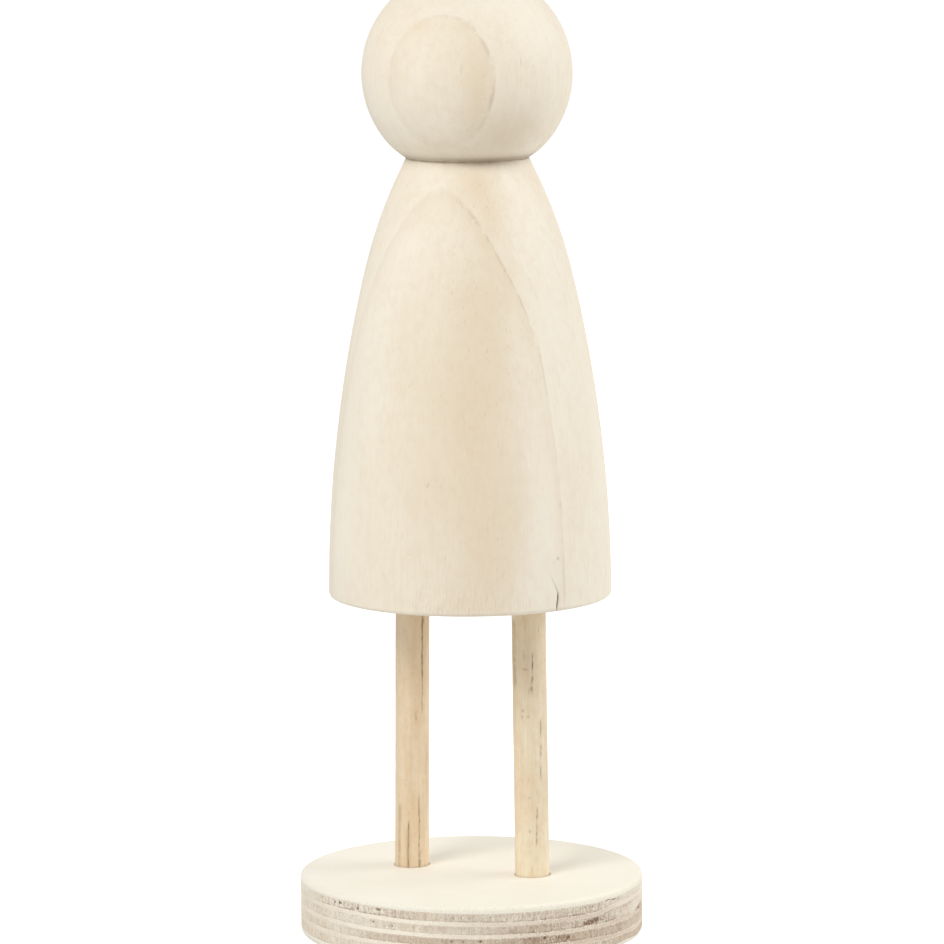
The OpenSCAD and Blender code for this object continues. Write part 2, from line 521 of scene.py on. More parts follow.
# Small dark ticks: (degrees, mm above the hem, half width in mm, half height in mm, darkness)
SPECKS = [(60.7, 12.2, 0.3, 0.16, 0.5), (58.6, 11.5, 0.16, 0.3, 0.25), (63, 24.6, 0.3, 0.9, 0.16),
          (63.1, 16.2, 0.2, 0.5, 0.15), (12.8, 2.6, 0.12, 0.3, 0.3), (24.2, 2, 0.12, 0.3, 0.3),
          (23.4, 55, 0.2, 0.6, 0.25), (47.2, 42, 0.25, 0.4, 0.25), (45.2, 37, 0.25, 0.6, 0.2),
          (5, 30, 0.25, 0.3, 0.2), (18.6, 92.2, 0.2, 0.4, 0.25), (44, 78, 0.3, 0.2, 0.3),
          (4.4, 129.5, 0.1, 0.5, 0.2), (9, 123.6, 0.12, 0.6, 0.3), (19.6, 124, 0.1, 1, 0.25),
          (53.6, 125.4, 0.12, 0.8, 0.3), (61.4, 124, 0.12, 0.6, 0.25), (35.6, 116.8, 0.2, 1.4, 0.3)]
# Tan of the wood, and painted shade down the middle that faces the camera, under the chin, below
# the neck and on the head's lower right. Below 0 paler wood, and painted light along the edges:
# (degrees, mm above the hem, half width in degrees, half height in mm, strength)
TAN_PAINTED_SHADE_AND_LIGHT = [(29, 13, 12, 18, 0.75), (24, 46, 16, 24, 1.05), (25, 72, 12, 9, 0.5), (30, 98, 13, 3.6, 0.7),
           (37, 92, 12, 5, 0.45), (-12, 91, 9, 3.5, 0.4), (6, 44, 14, 24, 0.3), (-12, 58, 15, 12, 0.2),
           (52, 109, 24, 7, 0.7), (0, 105.4, 24, 1.6, 0.5), (27, 121, 10, 11, 0.85),
           (12, 128, 10, 10, 0.2), (-9, 133.4, 8, 1.6, 0.5), (22, 133.8, 5, 1.3, 0.6),
           (86, 97, 8, 4, 0.2), (-48, 60, 16, 30, -0.8), (-44, 14, 18, 18, -1), (-43, 115, 14, 9, -1.1),
           (-18, 113, 10, 6, -0.5), (70, 76, 14, 26, -0.4), (70, 132, 20, 7, -0.7),
           (40, 138, 40, 4, -0.5), (-20, 99, 20, 3, -0.4), (58, 97, 8, 3, -0.4), (56, 18, 10, 20, -0.7),
           (98, 36, 9, 14, -1), (150, 60, 30, 30, 0.5), (215, 30, 24, 26, 0.4), (255, 90, 30, 18, 0.4),
           (190, 120, 40, 12, 0.4), (125, 30, 14, 30, 0.3), (37, 68, 9, 20, 0.4), (23, 95, 13, 6, 0.35),
           (74, 88, 12, 8, 0.25), (-6, 45, 14, 26, 0.15), (54, 125, 24, 8, 0.35), (42, 26, 7, 10, 0.35),
           (8, 27, 14, 6, 0.2), (-15, 35, 14, 8, 0.2), (14, 96, 7, 4, 0.15), (26, 92, 7, 4, 0.1),
           (36, 86, 7, 5, 0.45), (47, 76, 6, 6, 0.5), (53, 66, 5, 6, 0.35), (-24, 83, 14, 7, -0.8),
           (-8, 86, 10, 8, -0.45)]
print(len(SPECKS), "ticks and", len(TAN_PAINTED_SHADE_AND_LIGHT), "patches on the turned piece")


# %% Marks near the hem
def follow(h, path):
    """The angle of a path of (height in mm, degrees) at each height."""
    heights, degrees = np.array(path, float).T
    return np.interp(h, heights, degrees)


def hem_marks(degrees, h, u, v):
    """Depth in mm and darkness of the check, of the streak beside it and of the ticks."""
    across = arc_mm(degrees - follow(h, CHECK_PATH), HEM_R)
    check = bump(across, 0, np.interp(h, [0, 1.4, 3.6, 4.8, 9], [0.1, 0.2, 0.19, 0.13, 0.12]))
    depth = check * np.interp(h, [0, 3.4, 4.6, 6.6, 9.2], [0.8, 0.5, 0.2, 0.08, 0])
    stain = check * np.interp(h, [0, 1.4, 3.6, 4.6, 8, 9.4], [0.6, 0.95, 0.95, 0.5, 0.26, 0])
    beside = arc_mm(degrees - follow(h, STREAK_PATH), HEM_R)
    fading = np.interp(h, [0.5, 3, 9, 14, 17, 26], [0, 0.2, 0.2, 0.12, 0.06, 0.04]) * (h < 27)
    streak = bump(beside, 0, 0.24) * fading * (0.7 + 0.3 * drift(11, 6, 60, u * 0, v))
    stain, depth = np.maximum(stain, streak), depth + 0.05 * streak
    for middle, level, half, tall, tone in SPECKS:
        dot = spot(arc_mm(degrees - middle, HEM_R), h - level, half, tall)
        stain, depth = np.maximum(stain, tone * dot), depth + 0.1 * tone * dot
    return depth, stain


print(f"the check is {hem_marks(59.9, 1.5, 0.0, 0.0)[0]:.2f} mm deep near the hem")


# %% Torn grain and painted shade at the neck
def neck_marks(degrees, h, u, v, cut):
    """Depth in mm of the torn grain, and the painted shade in and around the neck's crease."""
    neck = NECK_AT / MM
    torn = bump(cut, neck, 0.9) * (0.1 * drift(12, 260, 4, u, v) + 0.08 * drift(13, 90, 3, u, v))
    below = neck - cut
    # painted shade in the neck's crease, where the head's shadow falls
    seam = bump(cut, neck, 0.36) * (0.86 + 0.14 * drift(14, 60, 2, u, v))
    # painted shadow of the head on the shoulder, just below the neck
    shoulder = (0.35 + 0.65 * bump(degrees, 34, 34)) * 0.75 * (below > -0.3)
    shoulder = shoulder * np.exp(-(np.maximum(below, 0) / 1.15) ** 1.5) * (below < 6)
    # painted shade under the chin
    chin = np.interp(h - BODY_RISE / MM, [0, 0.6, 1, 1.5, 2.4], [0.8, 0.76, 0.5, 0.2, 0]) * (below < 0)
    chin = chin * (0.72 + 0.28 * bump(degrees, 40, 44))
    seam = np.maximum(np.maximum(seam, shoulder), chin)
    # and a little painted shade on the head's lower right
    return torn, seam + 0.045 * bump(degrees, 52, 24) * bump(h, 109, 7)


print(f"the groove of the neck lies {NECK_AT / MM:.1f} mm up the cut")


# %% Tan, painted shade and painted light, and all marks together
def tan_shade_and_light_at(degrees, h):
    """Tan and painted shade; below 0 paler wood, as along the hem, and painted light at the edges."""
    tan = -0.8 * bump(h, 0, 0.7)
    for middle, level, half, tall, strength in TAN_PAINTED_SHADE_AND_LIGHT:
        tan = tan + strength * spot(turn_from(middle, degrees), h - level, half, tall)
    return tan


def body_marks(angle, height, u, v, cut):
    """Depth cut away, and tags: stains, painted shade at the neck, tone with painted shade and light,
    hairs.
    """
    degrees, h = np.degrees(angle), height / MM
    depth, stain = hem_marks(degrees, h, u, v)
    torn, seam = neck_marks(degrees, h, u, v, cut)
    wave = 0.018 * drift(15, 3, 64, u, v) + 0.02 * drift(16, 7, 9, u, v)
    hairs = np.interp(h, [0, 2, 7, 11], [1, 0.9, 0.3, 0]) * bump(degrees, 14, 34)
    # the neck's tag is painted shade
    # the tan tag holds painted shade and painted light besides the wood's own tan
    tags = {"stain": stain, "seam": seam, "tan": tan_shade_and_light_at(degrees, h), "hairs": hairs}
    return (depth + torn + wave * (1 - bump(h, 0, 1.5))) * MM, tags


print(f"tan in the middle of the body's front: {tan_shade_and_light_at(24, 46):.2f}")

# %% Grid of the turned piece
BODY_ROWS, LEFT_COLUMNS, RIGHT_COLUMNS = 262, 214, 134
# Where lines crowd: (middle, half width, gain), in radians round the body and in metres up the cut
BUSY_TURN = [(math.radians(59), math.radians(3.4), 7)]
BUSY_CUT = [(2.5 * MM, 8 * MM, 2.4), (NECK_AT, 1.6 * MM, 7), (0.6 * MM, 0.7 * MM, 6)]


def body_columns():
    """Angles round the body. The first is exactly at the front, and LEFT_COLUMNS is at the back."""
    left = uneven(0, math.pi, LEFT_COLUMNS, BUSY_TURN)
    return np.concatenate([left, np.linspace(math.pi, 2 * math.pi, RIGHT_COLUMNS + 1)[1:-1]])


def turned_grid():
    """Rows along the cut, columns round the axis: the axis plus distance times (sin a, -cos a)."""
    s = uneven(0, length[-1], BODY_ROWS, BUSY_CUT)
    r, h = (np.interp(s, length, way) for way in outline.T)
    slope = np.gradient(np.stack([r, h], -1), s, axis=0)
    angle = body_columns()
    u, v = np.meshgrid(angle / (2 * math.pi), s / length[-1])
    depth, tags = body_marks(angle[None, :], h[:, None], u, v, s[:, None] / MM)
    depth[-1] = 0
    reach = r[:, None] - depth * slope[:, 1:]
    reach[-1] = 0
    z = HEM_Z + h[:, None] + depth * slope[:, :1]
    z[0] = HEM_Z
    points = np.stack([AXIS_X + reach * np.sin(angle), AXIS_Y - reach * np.cos(angle), z], -1)
    return points, tags


grid, body_tags = turned_grid()
print("grid of the turned piece:", grid.shape[0], "rows and", grid.shape[1], "columns")

# %% [markdown]
# ## Holes in a flat face
# The body's underside and some veneers have two round holes for the legs. A disc with two holes is
# split down its middle into two halves with one hole each. In a half, every point of the border
# looks at the hole's middle, and the grid runs along those lines from the hole to the border. So
# its points meet the ones of the turned wall exactly, and the welded shell is closed.


# %% Borders and the mouths of holes
BAR_POINTS = 24


def leg_middle(side, z):
    """Where a leg's axis passes the height z. It leans inwards on its way up."""
    lean = (z - BOARD_T) * math.tan(LEG_LEAN)
    return np.array([AXIS_X + side * (LEG_SPACING / 2 - lean), AXIS_Y, z])


def halves(rim, back_index, middle):
    """The two closed borders of a disc that is split from its front point to its back point."""
    front, rear = rim[0], rim[back_index]
    bar = np.linspace(rear, front, BAR_POINTS + 2)[1:-1]
    bar[:, 2] = middle
    return [(1, np.concatenate([rim[:back_index + 1], bar])),
            (-1, np.concatenate([rim[back_index:], rim[:1], bar[::-1]]))]


def hole_mouth(side, border, radius, z):
    """Points of the hole's circle on the lines from its middle to each point of the border."""
    middle = leg_middle(side, z)
    away = border - middle
    away[:, 2] = 0
    return middle + radius * away / np.linalg.norm(away, axis=1, keepdims=True)


apart_low, apart_high = ((leg_middle(1, z) - leg_middle(-1, z))[0] / MM for z in (BOARD_T, HEM_Z))
print(f"the legs are {apart_low:.1f} mm apart at the board and {apart_high:.1f} mm at the hem")

# %% Faces, holes and their walls
# Places of the lines between two borders: of a face with holes, a plain one and a hole's wall
FACE_STEPS = np.array([0, 0.15, 0.4, 1, 3, 8, 12, 15, 16.0])
PLAIN_STEPS = np.array([0, 24, 32, 37, 40.0])
WALL_STEPS = np.array([0, 0.3, 1.0])
# How much painted shade each of a face's lines gets, from the hole's mouth outwards round the leg
MOUTH_SHADE = np.array([1, 0.5, 0, 0, 0, 0, 0, 0, 0])[:, None]
# The power with which a face takes up the wander of its rim, so that only its last lines do
SETTLE = 6


def fan(inner, outer, steps, settle=1):
    """Grid of lines from one closed border to another, whose height follows t ** settle."""
    t = (steps / steps[-1])[:, None, None] ** np.array([1, 1, settle])
    return inner[None] * (1 - t) + outer[None] * t


def flat_face(rim, back_index, radius, z):
    """The grids of a face at height z with two holes, and the mouths of the holes.

    A tag darkens the rim of a hole with painted shade, round the leg that stands in it.
    """
    sheets, mouths = [], []
    for side, border in halves(rim, back_index, z):
        mouth = hole_mouth(side, border, radius, z)
        mouth_shade = MOUTH_SHADE * (1 if side > 0 else 0.6)
        # the pore tag of a face is painted shade round the hole's mouth
        sheets.append((fan(mouth, border, FACE_STEPS, SETTLE), True, {"pore": mouth_shade}))
        mouths.append((side, mouth))
    return sheets, mouths


def hole_wall(mouth, far):
    """The wall of a hole from one mouth to the other."""
    return [(fan(mouth, far, WALL_STEPS), True, {})]


def blind_hole(side, mouth, end_z):
    """The wall of a blind hole and its flat end."""
    middle = leg_middle(side, end_z)
    far = mouth + (middle - leg_middle(side, mouth[0, 2]))
    return hole_wall(mouth, far) + hole_wall(far, np.broadcast_to(middle, far.shape))


print("a face with holes is two fans of", len(FACE_STEPS), "lines")

# %% The turned piece as a closed mesh
LEG_TOP_Z = BOARD_T + (LEG_LENGTH - BOARD_HOLE) * math.cos(LEG_LEAN)
TIP_ROOM = 0.02 * MM

faces, mouths = flat_face(grid[0], LEFT_COLUMNS, LEG_R + BODY_FIT, HEM_Z)
body_sheets = [(grid, True, body_tags)] + faces
for side, mouth in mouths:
    body_sheets += blind_hole(side, mouth, LEG_TOP_Z + TIP_ROOM)
turned_body = wooden("turned_body", body_sheets)

# %% [markdown]
# ## Two dowels
# A dowel is a cylinder with its ends bevelled, drilled into place at a slight lean. It was planed
# from a wood with open pores: where a pore runs along the surface it leaves a fine broken groove.
# The list gives each groove by its two heights above the board, its two angles, its half width,
# its depth, how dark it is and how broken. They are cut into the grid and tagged for the finish.

# %% Grooves of each leg
# (low and high in mm, degrees at low and at high, half width and depth in mm, darkness, dashes)
RIGHT_GROOVES = [
    (44, 64, 58.8, 58.4, 0.15, 0.2, 1, 0.35), (36.5, 47, 58.6, 58.5, 0.11, 0.08, 0.55, 0.4),
    (57.5, 60, 60, 60, 0.3, 0.06, 0.7, 0.3), (-1, 17.4, 48.8, 48.4, 0.12, 0.18, 0.65, 0.5),
    (-1, 4.5, 52, 52, 0.3, 0.06, 0.35, 0.9), (-1, 11.5, 11.2, 10.5, 0.16, 0.2, 0.65, 0.25),
    (-1, 10, 10, 10, 0.5, 0.02, 0.22, 0.2), (-1, 15.5, -25.5, -24.5, 0.45, 0.04, 0.26, 0.3),
    (4, 6.4, -25, -25, 0.16, 0.08, 0.4, 0.2), (8, 30, 79, 81, 0.3, 0.04, 0.14, 0.5),
    (34, 38, 36, 37, 0.2, 0.04, 0.2, 0.7), (28, 62, 205, 207, 0.14, 0.16, 0.6, 0.7),
    (2, 20, 150, 149, 0.13, 0.12, 0.5, 0.6), (14, 38, 268, 267, 0.12, 0.1, 0.4, 0.7)]
LEFT_GROOVES = [
    (47.5, 53.6, 31.5, 33.5, 0.14, 0.16, 0.85, 0.6), (42.5, 49, 28, 31, 0.22, 0.1, 0.5, 0.7),
    (43, 45.4, 22, 25, 0.3, 0.03, 0.25, 0.7), (32.4, 37.6, 60.5, 62.5, 0.17, 0.08, 0.5, 0.6),
    (27.4, 32, 58.6, 60.4, 0.17, 0.08, 0.45, 0.6), (23, 27, 56, 58, 0.17, 0.08, 0.4, 0.6),
    (12.6, 16.8, 40, 42, 0.15, 0.12, 0.6, 0.5), (7.2, 13, 36.5, 40, 0.17, 0.1, 0.5, 0.5),
    (10.4, 11.5, 16.5, 16.5, 0.26, 0.04, 0.3, 0), (0.4, 3, 20, 20, 0.15, 0.05, 0.25, 0.1),
    (39, 39.9, -3, -3, 0.28, 0.04, 0.35, 0), (37.4, 38.4, -6, -6, 0.25, 0.04, 0.3, 0),
    (37.7, 38.4, 16, 16, 0.3, 0.04, 0.28, 0), (48.9, 49.5, 9, 9, 0.6, 0.03, 0.35, 0),
    (51, 54, 4, 4, 0.3, 0.03, 0.16, 0.6), (18.4, 19.4, 17, 17, 0.26, 0.03, 0.16, 0),
    (44, 61, -37, -38, 0.55, 0.03, 0.26, 0.5), (20, 55, 172, 174, 0.14, 0.16, 0.6, 0.7),
    (1, 24, 232, 231, 0.13, 0.12, 0.5, 0.6), (30, 60, 300, 298, 0.12, 0.1, 0.4, 0.8)]
print(len(RIGHT_GROOVES), "grooves on the right leg and", len(LEFT_GROOVES), "on the left")

# %% Depth and darkness of the grooves
# How many degrees a groove wanders to either side, and over how many mm its ends fade at most
GROOVE_WANDER = 1.6
LONGEST_FADE = 1.5


def grooved(grooves, degrees, t, seed, u, v):
    """Depth and darkness of the grooves: a bell across each, fading at both ends, broken in dashes."""
    depth, dark = np.zeros(u.shape), np.zeros(u.shape)
    for k, (low, high, at_low, at_high, half, deep, tone, dashes) in enumerate(grooves):
        share = np.clip((t - low) / (high - low), 0, 1)
        wander = GROOVE_WANDER * drift(seed + k, 2, 50, u * 0, v)
        middle = at_low + (at_high - at_low) * share + wander
        across = arc_mm(turn_from(middle, degrees), LEG_R)
        fade = min(LONGEST_FADE, (high - low) / 2)
        ends = np.clip((t - low) / fade, 0, 1) * np.clip((high - t) / fade, 0, 1)
        broken = 1 - dashes * np.clip(0.5 - 1.6 * drift(seed + 50 + k, 2, 110, u * 0, v), 0, 1)
        mark = bump(across, 0, half) * ends * broken
        depth, dark = np.maximum(depth, mark * deep), np.maximum(dark, mark * tone)
    return depth, dark


print("the deepest groove is", max(groove[5] for groove in RIGHT_GROOVES + LEFT_GROOVES), "mm deep")

# %% The two dowels
DOWEL_COLUMNS, DOWEL_ROWS = 192, 330


def leg_points(side, angle, reach, t):
    """Points at an angle and distance from the leg's axis, t along it from the board's top."""
    x, y = reach * np.sin(angle), -reach * np.cos(angle)
    c, s = math.cos(LEG_LEAN), side * math.sin(LEG_LEAN)
    foot = leg_middle(side, BOARD_T)
    return np.stack([foot[0] + x * c - s * t, foot[1] + y, BOARD_T + x * s + t * c], -1)


def dowel(name, side, grooves, seed):
    """Cylinder along the leg's axis, with bevelled ends and flat tips."""
    low, high = -BOARD_HOLE, LEG_LENGTH - BOARD_HOLE
    long_side = np.linspace(low + LEG_CHAMFER, high - LEG_CHAMFER, DOWEL_ROWS)
    t = np.concatenate([[low, low], long_side, [high, high]])
    tip = LEG_R - LEG_CHAMFER
    radius = np.concatenate([[0, tip], np.full(DOWEL_ROWS, LEG_R), [tip, 0]])
    angle = np.linspace(0, 2 * math.pi, DOWEL_COLUMNS + 1)[:-1]
    u, v = np.meshgrid(angle / (2 * math.pi), (t - low) / (high - low))
    depth, dark = grooved(grooves, np.degrees(angle)[None, :], t[:, None] / MM, seed, u, v)
    shaft = (radius == LEG_R)[:, None]
    uneven_face = 0.02 + 0.02 * drift(seed + 90, 9, 12, u, v) + 0.012 * drift(seed + 91, 70, 30, u, v)
    reach = np.maximum(radius[:, None] - shaft * (depth + uneven_face) * MM, 0)
    points = leg_points(side, angle[None, :], reach, t[:, None])
    return wooden(name, [(points, True, {"groove": dark * shaft})])


right_dowel = dowel("dowel_right", -1, RIGHT_GROOVES, 100)
left_dowel = dowel("dowel_left", 1, LEFT_GROOVES, 300)

# %% [markdown]
# ## Nine plies of the board
# Plywood is glued up from an odd number of veneers, each with its grain across the next. Sawn into
# a disc, it shows its make on the edge: thick crossbands cut rough and dark, thin pale ones
# between them, and the two face veneers with their rims sanded round. Each veneer is its own
# piece. The crossbands get pits, torn pores and saw marks as real relief, only ever cut inwards.
# No veneer is quite even, so near the edge the glue lines wander up and down by up to a
# millimetre. Both neighbours follow the same line, so there is no gap and no overlap.

# %% Marks on the board's edge
# Marks where they show on the edge: (degrees, height, half width and half height in mm, darkness).
# A darkness over 1 is a void, as many millimetres deep.
EDGE_MARKS = [
    (-36.7, 11.9, 0.5, 0.3, 0.45), (-34.8, 11.6, 0.15, 0.9, 0.7), (-29, 11.7, 0.35, 0.4, 0.75),
    (-26.3, 11.8, 0.4, 0.35, 1), (-22, 11.7, 0.2, 0.4, 0.75), (-22, 10.8, 2, 0.13, 0.45),
    (-18.2, 11.3, 0.4, 0.35, 1), (-17.3, 12, 0.4, 0.2, 0.7), (-14, 11.5, 0.15, 0.2, 0.5),
    (-12.3, 11.4, 0.2, 0.3, 0.45), (-9.7, 11.8, 0.8, 0.33, 1), (-10, 10.65, 2.2, 0.12, 0.7),
    (-4, 11.7, 0.25, 0.35, 0.6), (-1, 11.4, 0.15, 0.3, 0.7), (0.9, 11.4, 0.17, 0.4, 0.95),
    (5.5, 10.9, 0.3, 0.3, 0.35), (8, 11.8, 0.4, 0.2, 0.3), (10, 11.2, 0.3, 0.4, 0.35),
    (-25.5, 9.5, 2, 0.13, 0.6), (-18, 9.45, 2, 0.11, 0.6), (-24, 8.9, 0.25, 0.25, 0.6),
    (-20.6, 9, 0.15, 0.2, 0.5), (-11.5, 8.9, 0.35, 0.25, 0.9), (-7.3, 8.1, 0.3, 0.3, 0.6),
    (-5.6, 8.4, 0.2, 0.35, 0.8), (-4.4, 8.3, 0.25, 0.35, 0.8), (-2, 8, 0.2, 0.25, 0.35),
    (0.2, 8.5, 0.25, 0.25, 0.45), (4.3, 8.9, 0.17, 0.3, 0.4), (5.3, 8.2, 0.17, 0.3, 0.4),
    (8.8, 9.1, 0.2, 0.2, 0.4), (-41.2, 9.2, 0.5, 0.2, 0.6), (-34, 9.3, 0.8, 0.15, 0.5),
    (-36, 6.65, 2.6, 0.11, 0.55), (-26, 6.7, 2.2, 0.1, 0.5), (-33, 3.9, 2.4, 0.11, 0.5),
    (-31, 10.65, 2.4, 0.11, 0.5), (-16, 5.9, 0.16, 0.2, 0.6), (-25.8, 5.4, 0.4, 0.3, 0.3),
    (-14, 5.3, 0.4, 0.4, 0.3), (-3.5, 5.1, 0.5, 0.3, 0.35), (0, 5.1, 0.16, 0.4, 0.5),
    (3.5, 5.5, 0.17, 0.4, 0.5), (11, 5.7, 0.35, 0.4, 0.5), (13, 5.6, 0.35, 0.4, 0.6),
    (16.5, 5.6, 0.5, 0.3, 0.65), (20, 5.5, 0.4, 0.3, 0.5), (25.5, 5.5, 0.5, 0.4, 0.9),
    (-24.7, 3.8, 0.8, 0.13, 0.45), (-20, 3.6, 0.6, 0.2, 0.35), (-29.8, 3.3, 0.4, 0.4, 0.35),
    (23.5, 10.4, 0.16, 0.3, 0.5), (26, 10.4, 0.3, 0.45, 0.5), (29, 11.2, 0.17, 0.4, 0.6),
    (34.5, 10.6, 0.4, 0.5, 0.5), (57.5, 9.8, 1.8, 0.13, 0.6), (48, 9.9, 2.6, 0.12, 0.25),
    (65, 9.7, 1.5, 0.13, 0.4), (57, 10.9, 0.2, 0.5, 0.5), (63, 11, 0.5, 0.4, 0.35),
    (67, 11.2, 0.5, 0.4, 0.3), (46, 8.8, 3, 0.2, 0.35), (47.5, 8, 3, 0.5, 0.3),
    (50.5, 7.9, 0.5, 0.4, 0.45), (66.5, 7.6, 3, 0.75, 0.85), (68.5, 7.8, 1.2, 0.8, 1),
    (64, 7.35, 1.4, 0.55, 0.9), (72, 7.6, 1.4, 0.6, 0.4), (44, 5.2, 2.6, 0.8, 0.5),
    (47.5, 5.5, 0.6, 0.6, 0.9), (53.5, 5.1, 2.4, 0.7, 0.55), (56.5, 5, 0.7, 0.7, 0.85),
    (60, 5, 0.8, 0.4, 0.45), (55, 4.3, 0.8, 0.2, 0.7), (76, 5.4, 0.5, 0.4, 0.4), (80, 5.3, 1.2, 0.4, 0.5),
    (82.5, 5, 0.4, 0.5, 0.45), (81.5, 3.9, 0.8, 0.15, 0.6), (71.2, 11.6, 0.4, 0.3, 0.6),
    (74.5, 11.75, 1.3, 0.16, 0.9), (78, 11.5, 1.4, 0.16, 0.9), (81.5, 11.2, 1.6, 0.15, 0.6),
    (84.5, 10.9, 1.4, 0.15, 0.4), (93.5, 11.7, 1, 0.15, 0.6), (74, 8.8, 1.8, 0.2, 0.5),
    (80, 9, 2.4, 0.2, 0.5), (86, 9, 2, 0.28, 0.65), (90, 9.2, 2, 0.25, 0.6), (96, 9.4, 2.4, 0.25, 0.5),
    (86.5, 6.4, 1.4, 0.3, 0.5), (94, 5.5, 1.8, 0.6, 0.4), (102.5, 6.4, 2.4, 0.6, 1.2),
    (99, 6.5, 2.4, 0.45, 0.9), (150, 11, 1.5, 0.5, 1.1), (200, 8.4, 2.5, 0.6, 0.7),
    (238, 5.4, 1.2, 0.5, 1.1), (285, 11.2, 1.8, 0.6, 0.7), (262, 2.4, 2, 0.6, 0.7),
    (-70, 2.2, 1.4, 0.5, 0.8)]
print(len(EDGE_MARKS), "marks on the edge,", sum(mark[4] > 1 for mark in EDGE_MARKS), "of them voids")

# %% Glue lines and tones round the edge
# How far the glue lines lie above their places, in mm: (degrees, under the top veneer, round the
# first pale ply, the second and the third)
WAVER = [(-180, 0, 0.1, 0.1, 0.1), (-120, 0, -0.2, -0.1, 0.1), (-80, 0.1, 0.2, 0.3, 0.3),
         (-45, 0.3, 0.35, 0.45, 0.5), (-20, 0.3, 0.4, 0.3, 0.5), (0, 0.05, 0.1, 0.25, 0.4),
         (20, -0.25, -0.12, -0.05, 0.1), (45, -0.3, -0.4, -0.25, -0.1), (68, -0.45, -0.6, -0.4, -0.5),
         (78, -0.3, 0.35, -0.6, -0.85), (100, -0.25, 0.5, -0.5, -1), (125, 0, 0, 0, -0.2)]
# How dark the crossbands and the pale plies are, at degrees from the doll's front. In these
# lists the value between two places lies on a straight line.
TONES = {
    "cross_ply_1": [
        (-60, 0.12), (-35, 0.3), (-20, 0.36), (-10, 0.2), (0, 0.64), (10, 0.48), (24, 0.54), (40, 0.43),
        (52, 0.56), (62, 0.55), (70, 0.43), (80, 0.46), (95, 0.3)],
    "cross_ply_2": [
        (-60, 0.05), (-40, 0.32), (-25, 0.24), (-10, 0.32), (5, 0.37), (20, 0.52), (30, 0.6), (42, 0.88),
        (52, 0.76), (72, 0.76), (82, 0.48), (92, 0.36)],
    "cross_ply_3": [
        (-60, 0.12), (-40, 0.35), (-25, 0.3), (-12, 0.5), (0, 0.72), (30, 0.78), (38, 0.95), (44, 1.2),
        (54, 1.12), (60, 0.84), (72, 0.84), (82, 0.75), (90, 0.7)],
    "cross_ply_4": [
        (-60, 0.3), (-20, 0.3), (60, 0.45), (80, 0.75), (115, 0.75), (130, 0.3)],
    "long_ply_1": [
        (-60, 0.6), (-35, 0.5), (-5, 0.15), (10, 0.25), (22, 0.6), (45, 0.8), (62, 1.15), (72, 0.8),
        (90, 0.6)],
    "long_ply_2": [
        (-60, 0.45), (-35, 0.42), (-10, 0.12), (10, 0.15), (20, 0.5), (30, 0.42), (42, 0.7), (66, 0.95),
        (80, 1.3), (90, 1.3)],
    "long_ply_3": [
        (-60, 0.65), (-35, 0.5), (-10, 0.3), (30, 0.6), (56, 1.2), (75, 1.35), (90, 1.15)]}
# How thickly specks and dark glue lie on the first crossband's edge, and on the other plies
CROWD = [(-60, 0.2), (-42, 0.3), (-33, 0.5), (-22, 0.9), (-6, 0.75), (6, 0.35), (14, 0.5), (30, 0.9),
         (70, 1), (76, 0.4), (100, 0.1)]
CALMER = [(-60, 0.3), (-30, 0.35), (-12, 0.4), (4, 0.5), (12, 0.35), (30, 0.6), (44, 0.9), (70, 1),
          (80, 0.5), (100, 0.15)]
# Heights in mm of the glue lines, and of these together with the board's two faces
GLUE_LINES = {round(corner.z / MM, 3) for i in (1, 2, 3, 4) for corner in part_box(f"cross_ply_{i}")}
LEVELS = np.array(sorted(GLUE_LINES | {0, BOARD_T / MM}))
print("glue lines at", sorted(GLUE_LINES), "mm")


# %% Wander of the glue lines
def round_edge(angle, places):
    """A listed value at each angle, from straight lines between the places round the board."""
    degrees, value = np.array(places, float).T
    return np.interp(np.degrees(angle), degrees, value, period=360)


def waver(angle, z):
    """Height in metres by which the edge wanders at z: nothing at the board's two faces."""
    rim, high, mid, low = (round_edge(angle, [(row[0], row[k]) for row in WAVER]) for k in (1, 2, 3, 4))
    lines = np.concatenate([0 * low, 0.5 * low, low, low, mid, mid, high, high, rim, 0 * rim])
    i = np.clip(np.searchsorted(LEVELS, z[:, 0] / MM, side="right") - 1, 0, len(LEVELS) - 2)
    t = ((z[:, 0] / MM - LEVELS[i]) / (LEVELS[i + 1] - LEVELS[i]))[:, None]
    torn = 0.05 + 0.16 * bump(np.degrees(angle), 92, 16)
    short = torn * drift(77, 46, 12, angle / (2 * math.pi), np.clip(z / BOARD_T, 0, 1) * 0.999)
    from_face = np.minimum(z, BOARD_T - z) / MM
    return (lines[i] + (lines[i + 1] - lines[i]) * t + short * np.clip(from_face / 1.2, 0, 1)) * MM


shifts = waver(np.radians([[0, 68, 100]]), np.array([[BOARD_T / 2]])) / MM
print("halfway up, the edge wanders at 0, 68 and 100 degrees by", np.round(shifts[0], 2), "mm")

# %% Marks cut into an edge
# Height in mm of the lattice that frays the marks, and the depth that only voids go beyond
FRAY_HEIGHT = 14
DEEPEST_PIT = 0.25


